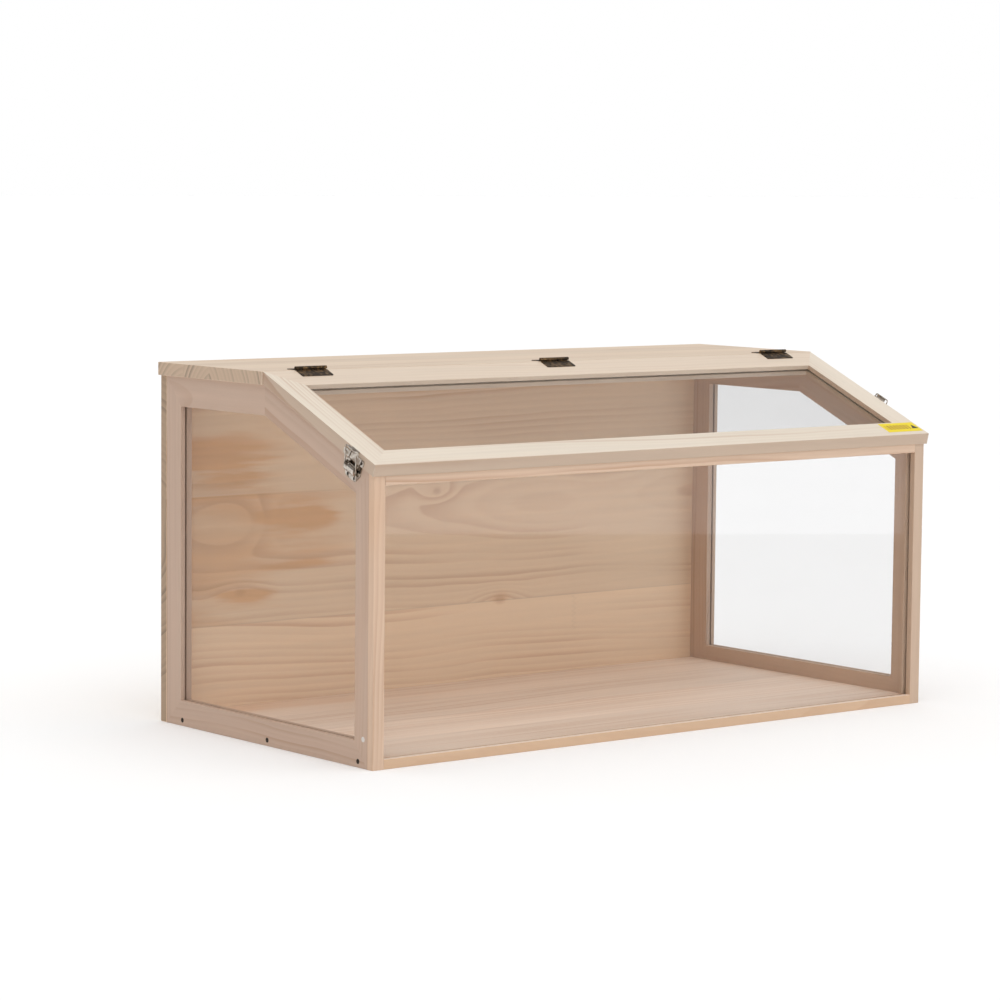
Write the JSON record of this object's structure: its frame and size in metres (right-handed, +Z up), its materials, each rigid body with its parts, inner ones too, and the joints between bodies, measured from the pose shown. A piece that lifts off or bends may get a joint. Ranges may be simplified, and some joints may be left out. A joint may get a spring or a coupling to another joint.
{
  "type": "cold frame",
  "caption": "Wooden case with clear side and front panes under a half-flat, half-sloping top, whose glazed lid turns on butt hinges and is held by draw latches.",
  "frame": {"origin": "on the ground, in the middle of the footprint", "axes": "+Z up, -Y the front where the lid slopes down, +X the right as seen from the front"},
  "size_m": [1.0152, 0.4999, 0.505],
  "materials": {
    "pine": "bare planed pine, satin",
    "acrylic": "clear, glossy",
    "bronze": "antique bronze, dark",
    "nickel": "bright nickel plate",
    "dark_screw": "black phosphate",
    "cap": "matt, pale",
    "label": "printed film, semi-gloss"
  },
  "bodies": {
    "case": {"floor_panel": "pine", "front_top_rail": "pine", "back_panel": "pine", "top_board": "pine", "front_pane": "acrylic", "left_rear_stile": "pine", "left_top_rail": "pine", "left_sloped_rail": "pine", "left_front_stile": "pine", "left_bottom_rail": "pine", "left_pane": "acrylic", "left_front_post": "pine", "left_glazing_bead": "pine", "left_latch_base": "nickel", "left_latch_pin": "nickel", "right_rear_stile": "pine", "right_top_rail": "pine", "right_sloped_rail": "pine", "right_front_stile": "pine", "right_bottom_rail": "pine", "right_pane": "acrylic", "right_front_post": "pine", "right_glazing_bead": "pine", "right_latch_base": "nickel", "right_latch_pin": "nickel", "left_hinge_case_leaf": "bronze", "left_hinge_pin": "bronze", "middle_hinge_case_leaf": "bronze", "middle_hinge_pin": "bronze", "right_hinge_case_leaf": "bronze", "right_hinge_pin": "bronze", "hinge_case_screws": "bronze", "latch_base_screws": "nickel", "side_screws": "dark_screw", "back_screws": "dark_screw", "stile_caps": "cap"},
    "lid": {"lid_top_rail": "pine", "lid_front_rail": "pine", "lid_left_stile": "pine", "lid_right_stile": "pine", "lid_pane": "acrylic", "warning_label": "label", "hinge_lid_screws": "bronze", "latch_catch_screws": "nickel", "left_hinge_lid_leaf": "bronze", "middle_hinge_lid_leaf": "bronze", "right_hinge_lid_leaf": "bronze", "left_latch_catch": "nickel", "right_latch_catch": "nickel"},
    "left_lever": {"left_latch_lever": "nickel"},
    "left_claw": {"left_latch_claw": "nickel"},
    "right_lever": {"right_latch_lever": "nickel"},
    "right_claw": {"right_latch_claw": "nickel"}
  },
  "joints": [
    {"name": "lid_hinge", "type": "hinge", "parent": "case", "child": "lid", "pos_m": [0, -0.00057, 0.5028], "axis": [-1, 0, 0], "range_deg": [0, 200]},
    {"name": "left_lever_hinge", "type": "hinge", "parent": "case", "child": "left_lever", "pos_m": [-0.4995, -0.2009, 0.39092], "axis": [0, 0.9207, 0.3904], "range_deg": [0, 120]},
    {"name": "left_claw_hinge", "type": "hinge", "parent": "left_lever", "child": "left_claw", "pos_m": [-0.5004, -0.19856, 0.3854], "axis": [0, -0.9207, -0.3904], "range_deg": [0, 150]},
    {"name": "right_lever_hinge", "type": "hinge", "parent": "case", "child": "right_lever", "pos_m": [0.4995, -0.13646, 0.41825], "axis": [0, -0.9207, -0.3904], "range_deg": [0, 120]},
    {"name": "right_claw_hinge", "type": "hinge", "parent": "right_lever", "child": "right_claw", "pos_m": [0.5004, -0.13411, 0.41272], "axis": [0, 0.9207, 0.3904], "range_deg": [0, 150]}
  ],
  "couplings": [
    {"joint": "left_claw_hinge", "follows": "left_lever_hinge", "ratio": 1.25},
    {"joint": "right_claw_hinge", "follows": "right_lever_hinge", "ratio": 1.25}
  ]
}
